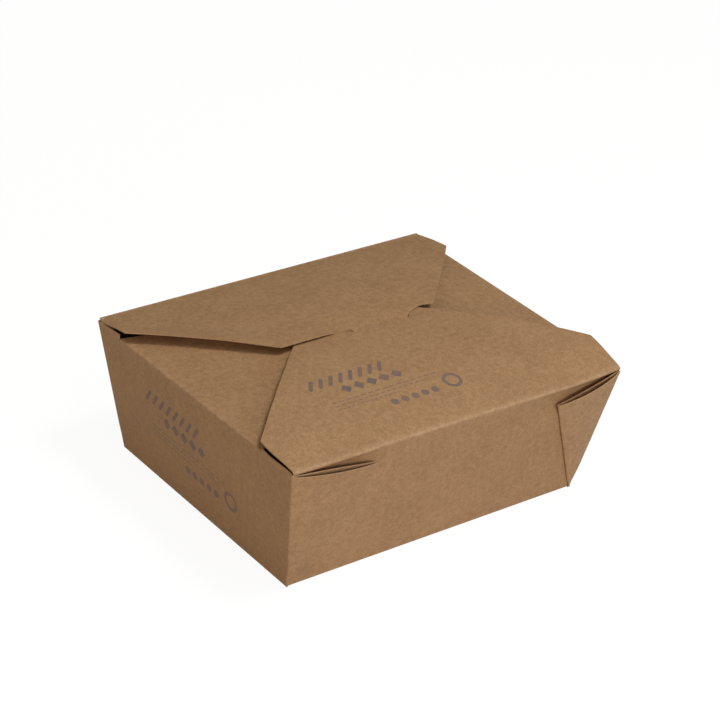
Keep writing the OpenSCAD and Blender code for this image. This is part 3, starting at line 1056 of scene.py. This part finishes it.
def back_flap(sizes, materials):
    """Back flap with its tongue, and the bead of its crease on the hinge line."""
    half_top, top_half, at_lap = sizes.top_depth / 2, sizes.top_length / 2, sizes.lap_width / 2
    shoulder_y = half_top - sizes.shoulder
    root_turn, tip_turn = (np.linspace(0, math.pi / 2, count) for count in (14, 7))
    root_stops = sizes.lap - (sizes.lap - ROOT_Y) * (1 - np.cos(root_turn))
    tip_stops = TONGUE_TIP + TONGUE_ROUND * (1 - np.cos(tip_turn))
    body = stations([sizes.lap, shoulder_y, half_top - 4 * MM, half_top], GRID_STEP)
    ends = stations(np.r_[tip_stops, root_stops], 1.0 * MM)
    y = np.unique(np.round(np.r_[ends, body], 8))[::-1]
    wide = top_half - np.clip(shoulder_y - y, 0, None) * flap_taper(sizes)
    wide -= HINGE_NARROW * ease(half_top - 12 * MM, half_top, y)

    # Columns, here from the left: beside the tongue, the tongue, past it and a narrow border
    tongue_left, tongue_right = tongue_outline(y)
    root_right = tongue_outline(np.array([sizes.lap]))[1][0]
    border, counts = 0.5 * MM, (30, 34, 12, 1)
    behind_lap = y >= sizes.lap - 1e-9
    x = []
    for half, left, right, on_body in zip(wide, tongue_left, tongue_right, behind_lap):
        if on_body:
            edges = [-half, TONGUE_LEFT * half / at_lap, root_right * half / at_lap,
                     half - border, half]
        else:
            edges = [left - at_lap, left, right, right + at_lap - border, right + at_lap]
        x.append(column_places(edges, counts)[::-1])
    grid = grid_of(np.array(x), y[:, None], np.zeros((len(y), 1)))
    x_at_lap = grid[:, :, 0] * at_lap / np.where(y >= sizes.lap, wide, at_lap)[:, None]
    toward_lap = behind_lap * (1 - ease(sizes.lap, 12 * MM, y))
    grid[:, :, 1] += notch(x_at_lap, sizes.lap) * toward_lap[:, None]
    skew = 1 - ease(shoulder_y - 12 * MM, shoulder_y + 1 * MM, y)
    grid[:, :, 0] += FLAP_SKEW * skew[:, None]
    grid[:, :, 2] = back_flap_height(grid[:, :, 0], grid[:, :, 1], sizes)

    keep, middle = all_cells(grid, y)
    in_front, right_side = middle < sizes.lap, counts[2] + counts[3]
    keep[in_front, :right_side] = False
    keep[in_front, right_side + counts[1]:] = False
    # Lighter board along the hinge crease from raised fibres and a painted highlight, and a painted
    # highlight along the right tapered edge, the tongue's right root and the notch, where light
    # catches the cut edges
    point, row = np.arange(grid.shape[1])[None, :], y[:, None]
    on_border = (point == 0) & (row < shoulder_y)
    on_root = (point == right_side) & (row < sizes.lap + 1e-9) & (row > -6 * MM)
    on_notch = (point <= right_side) & (np.abs(row - sizes.lap) < 1e-9)
    wear_and_highlight = np.maximum(0.7 * near(row, [half_top], 2.0 * MM), 0.9 * (on_border | on_root | on_notch))
    flap = grid_piece("back_flap_sheet", grid, keep, wear_and_highlight, materials, sizes.board)
    return join([flap, crease_bead(sizes, materials)])


def crease_bead(sizes, materials):
    """The rolled crease on the hinge line, which stays closed at every angle."""
    half = sizes.top_length / 2 - BEAD_INSET
    turns = np.linspace(0, 2 * math.pi, BEAD_SIDES, endpoint=False)
    points = [
        (x, HINGE.y + BEAD_RADIUS * math.cos(turn), HINGE.z + BEAD_RADIUS * math.sin(turn))
        for x in np.linspace(-half, half, BEAD_RUNS + 1) for turn in turns
    ]
    rings = np.arange(len(points)).reshape(-1, BEAD_SIDES)
    ahead = np.roll(rings, -1, axis=1)
    faces = np.stack([rings[:-1], ahead[:-1], ahead[1:], rings[1:]], 2).reshape(-1, 4).tolist()
    faces += [rings[0, ::-1].tolist(), rings[-1].tolist()]
    bead = add_mesh("crease_bead", points, faces, materials)
    smooth(bead)
    return bead


def join(pieces):
    """Joins pieces into the first one."""
    with bpy.context.temp_override(active_object=pieces[0], selected_objects=pieces,
                                   selected_editable_objects=pieces):
        bpy.ops.object.join()
    return pieces[0]


def belongs(piece, body, *nodes):
    """Ties a piece to its body and the nodes that it stands for."""
    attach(piece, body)
    if nodes:
        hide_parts(*nodes)


# Operators

def box_settings(scene):
    """The box's sizes, and its materials in the scene's colours."""
    return scene.box_sizes, board_materials(scene.box_colours)


class TAKEAWAY_OT_long_walls(bpy.types.Operator):
    """Folds the back wall, the base, the front wall and the front flap from one strip"""

    bl_idname = "takeaway.long_walls"
    bl_label = "Walls, base and front flap"

    def execute(self, context):
        belongs(main_strip(*box_settings(context.scene)), "box", "folded_box")
        return {"FINISHED"}


class TAKEAWAY_OT_sides(bpy.types.Operator):
    """Folds the two side walls with their flaps"""

    bl_idname = "takeaway.sides"
    bl_label = "Side walls and flaps"

    def execute(self, context):
        sizes, materials = box_settings(context.scene)
        for name, shape in SIDES.items():
            belongs(side_piece(name, shape, sizes, materials), "box")
        return {"FINISHED"}


class TAKEAWAY_OT_webs(bpy.types.Operator):
    """Folds the four doubled corner webs on to the outside of the long walls"""

    bl_idname = "takeaway.webs"
    bl_label = "Corner webs"

    def execute(self, context):
        sizes, materials = box_settings(context.scene)
        tree = web_tree()
        for name, web in CORNERS.items():
            belongs(corner_web("web_" + name, web, sizes, tree, materials), "box")
        return {"FINISHED"}


class TAKEAWAY_OT_back_flap(bpy.types.Operator):
    """Makes the back flap, which locks with its tongue in the front flap's slit"""

    bl_idname = "takeaway.back_flap"
    bl_label = "Back flap and tongue"

    def execute(self, context):
        belongs(back_flap(*box_settings(context.scene)), "flap", "back_flap")
        return {"FINISHED"}


# Studio

SENSOR, LENS = 36.0, 123.48
CAMERA_PLACE = Vector((-0.5859, -0.6967, 0.5715))
CAMERA_TURN = tuple(math.radians(a) for a in (40.11, 29.62, 5.93))


def camera_axes(azimuth, down, roll):
    """Right, up and back directions of a camera that looks at an azimuth and down."""
    ahead = Vector((math.sin(azimuth) * math.cos(down), math.cos(azimuth) * math.cos(down),
                    -math.sin(down)))
    level = ahead.cross(Vector((0, 0, 1))).normalized()
    upright = level.cross(ahead)
    right = level * math.cos(roll) + upright * math.sin(roll)
    up = upright * math.cos(roll) - level * math.sin(roll)
    return right, up, -ahead


def make_camera(scene):
    """The camera, which sees the box as in the photo."""
    data = bpy.data.cameras.new("camera")
    data.sensor_width, data.sensor_fit, data.lens = SENSOR, "HORIZONTAL", LENS
    data.clip_start, data.clip_end = 0.05, 30.0
    camera = add_object("camera", data)
    turn = Matrix(camera_axes(*CAMERA_TURN)).transposed().to_4x4()
    camera.matrix_world = Matrix.Translation(CAMERA_PLACE) @ turn
    scene.camera = camera


def make_lamp(name, place, size, watts, tint):
    """A square soft lamp that faces the box."""
    data = bpy.data.lights.new(name, "AREA")
    data.shape, data.size, data.energy, data.color = "SQUARE", size, watts, tint
    lamp = add_object(name, data)
    lamp.location = place
    toward_box = Vector((0, 0, 0.05)) - lamp.location
    lamp.rotation_euler = toward_box.to_track_quat("-Z", "Y").to_euler()


# Name, place, side in metres, watts and tint of each lamp, and the fill's strength and tint
LAMPS = [
    ("top_lamp", (0.25, -0.3, 1.2), 0.3, 5.8, (1.0, 0.98, 0.94)),
    ("high_front_lamp", (0.1, -1.1, 1.5), 0.9, 2.8, (1.0, 1.0, 0.99)),
    ("low_front_lamp", (-0.1, -1.2, 0.25), 0.5, 4.2, (1.0, 0.97, 0.99)),
    ("low_left_lamp", (-0.9, -0.9, 0.35), 0.5, 1.5, (1.0, 0.75, 0.5)),
    ("left_lamp", (-1.3, -0.3, 0.5), 0.6, 1.7, (1.0, 0.68, 0.4)),
]
WORLD = (0.22, (1.0, 1.0, 0.96))

WHITE = (1.0, 1.0, 1.0, 1.0)
FLOOR_REACH, FLOOR_WHITE, FLOOR_SHARE = 12.0, 1.16, 0.8


def make_floor(look):
    """A pale floor that keeps the box's shadow and reads as white to the camera."""
    material = bpy.data.materials.new("floor")
    material.use_nodes = True
    tree = material.node_tree
    tree.nodes.clear()
    paint = add_node(tree, "ShaderNodeBsdfDiffuse", Color=(*look.floor, 1.0))
    white = add_node(tree, "ShaderNodeEmission", Color=WHITE, Strength=FLOOR_WHITE)
    rays = ("Is Camera Ray", "Is Glossy Ray", "Is Transmission Ray")
    shown_apart(tree, paint, white, rays, FLOOR_SHARE, "ShaderNodeOutputMaterial")
    corners = [(-1, -1), (1, -1), (1, 1), (-1, 1)]
    points = [(FLOOR_REACH * x, FLOOR_REACH * y, 0) for x, y in corners]
    add_mesh("floor", points, [(0, 1, 2, 3)], [material])


def make_world(scene):
    """White to the camera, and a soft fill for the rest."""
    scene.world = bpy.data.worlds.new("studio")
    scene.world.use_nodes = True
    tree = scene.world.node_tree
    tree.nodes.clear()
    fill = add_node(tree, "ShaderNodeBackground", Color=(*WORLD[1], 1.0), Strength=WORLD[0])
    white = add_node(tree, "ShaderNodeBackground", Color=WHITE, Strength=1.0)
    rays = ("Is Camera Ray", "Is Transmission Ray")
    shown_apart(tree, fill, white, rays, 1.0, "ShaderNodeOutputWorld")


class TAKEAWAY_OT_stage(bpy.types.Operator):
    """Sets up the camera, the pale floor and the soft studio light"""

    bl_idname = "takeaway.stage"
    bl_label = "Studio"

    def execute(self, context):
        scene = context.scene
        make_camera(scene)
        make_floor(scene.box_colours)
        make_world(scene)
        for lamp in LAMPS:
            make_lamp(*lamp)
        scene.view_settings.view_transform = "Standard"
        return {"FINISHED"}


OPERATORS = (
    TAKEAWAY_OT_long_walls,
    TAKEAWAY_OT_sides,
    TAKEAWAY_OT_webs,
    TAKEAWAY_OT_back_flap,
    TAKEAWAY_OT_stage,
)


class TAKEAWAY_PT_panel(bpy.types.Panel):
    """Lists the box's sizes, colours and steps"""

    bl_idname = "TAKEAWAY_PT_panel"
    bl_label = "Takeaway box"
    bl_space_type = "VIEW_3D"
    bl_region_type = "UI"
    bl_category = "Takeaway box"

    def draw(self, context):
        for settings in (context.scene.box_sizes, context.scene.box_colours):
            box = self.layout.box()
            for name in settings.__annotations__:
                box.prop(settings, name)
        for operator in OPERATORS:
            self.layout.operator(operator.bl_idname)


CLASSES = (BoxSizes, BoxColours, *OPERATORS, TAKEAWAY_PT_panel)


def register():
    """Registers the classes and hangs the settings on the scene."""
    for cls in CLASSES:
        bpy.utils.register_class(cls)
    bpy.types.Scene.box_sizes = PointerProperty(type=BoxSizes)
    bpy.types.Scene.box_colours = PointerProperty(type=BoxColours)


def unregister():
    """Takes back what register did."""
    del bpy.types.Scene.box_colours
    del bpy.types.Scene.box_sizes
    for cls in reversed(CLASSES):
        bpy.utils.unregister_class(cls)


def main():
    """Builds the box and its studio."""
    register()
    bpy.ops.takeaway.long_walls()
    bpy.ops.takeaway.sides()
    bpy.ops.takeaway.webs()
    bpy.ops.takeaway.back_flap()
    bpy.ops.takeaway.stage()


if __name__ == "__main__":
    main()
